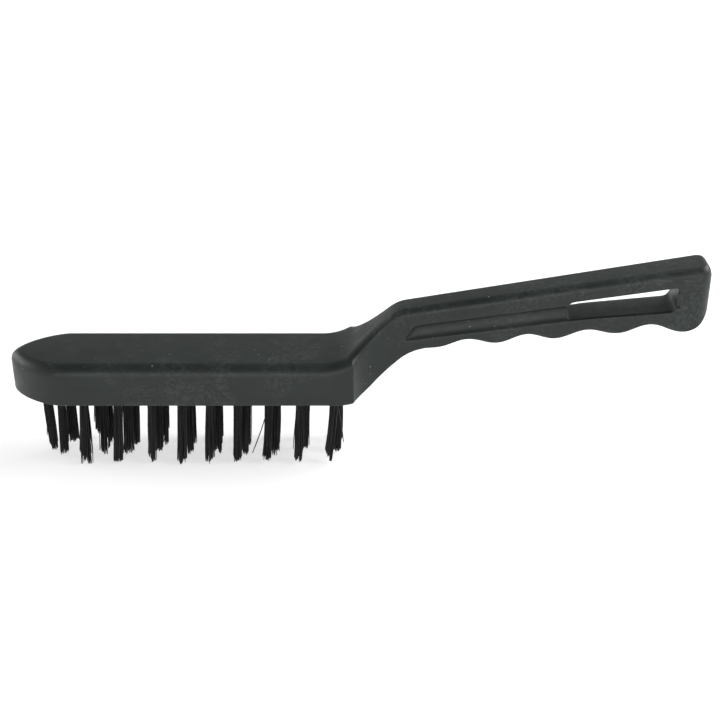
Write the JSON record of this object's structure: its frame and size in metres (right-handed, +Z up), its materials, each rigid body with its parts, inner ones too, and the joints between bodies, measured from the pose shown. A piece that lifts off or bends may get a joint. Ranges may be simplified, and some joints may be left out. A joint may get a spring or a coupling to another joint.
{
  "type": "block brush",
  "caption": "Hand block brush with a one-piece black plastic head, cranked neck and finger-groove handle, a long hanging slot, and four rows of black filament tufts",
  "frame": {"origin": "middle of the bounding box, on the plane of the bristle tips", "axes": "+X runs from the nose of the head to the end of the handle, +Z is up from the bristle tips to the back of the head, +Y completes the right-handed set"},
  "size_m": [0.2644, 0.0324, 0.0823],
  "materials": {
    "body_plastic": "satin black moulded plastic with a slight grey-green cast",
    "bristle": "near-black synthetic filament"
  },
  "bodies": {
    "root": {"body": "body_plastic", "tuft_nose": "bristle", "tuft_row1_col1": "bristle", "tuft_row1_col2": "bristle", "tuft_row1_col3": "bristle", "tuft_row1_col4": "bristle", "tuft_row1_col5": "bristle", "tuft_row1_col6": "bristle", "tuft_row1_col7": "bristle", "tuft_row1_col8": "bristle", "tuft_row1_col9": "bristle", "tuft_row2_col0": "bristle", "tuft_row2_col1": "bristle", "tuft_row2_col2": "bristle", "tuft_row2_col3": "bristle", "tuft_row2_col4": "bristle", "tuft_row2_col5": "bristle", "tuft_row2_col6": "bristle", "tuft_row2_col7": "bristle", "tuft_row2_col8": "bristle", "tuft_row2_col9": "bristle", "tuft_row3_col0": "bristle", "tuft_row3_col1": "bristle", "tuft_row3_col2": "bristle", "tuft_row3_col3": "bristle", "tuft_row3_col4": "bristle", "tuft_row3_col5": "bristle", "tuft_row3_col6": "bristle", "tuft_row3_col7": "bristle", "tuft_row3_col8": "bristle", "tuft_row3_col9": "bristle", "tuft_row4_col1": "bristle", "tuft_row4_col2": "bristle", "tuft_row4_col3": "bristle", "tuft_row4_col4": "bristle", "tuft_row4_col5": "bristle", "tuft_row4_col6": "bristle", "tuft_row4_col7": "bristle", "tuft_row4_col8": "bristle", "tuft_row4_col9": "bristle"}
  },
  "joints": []
}
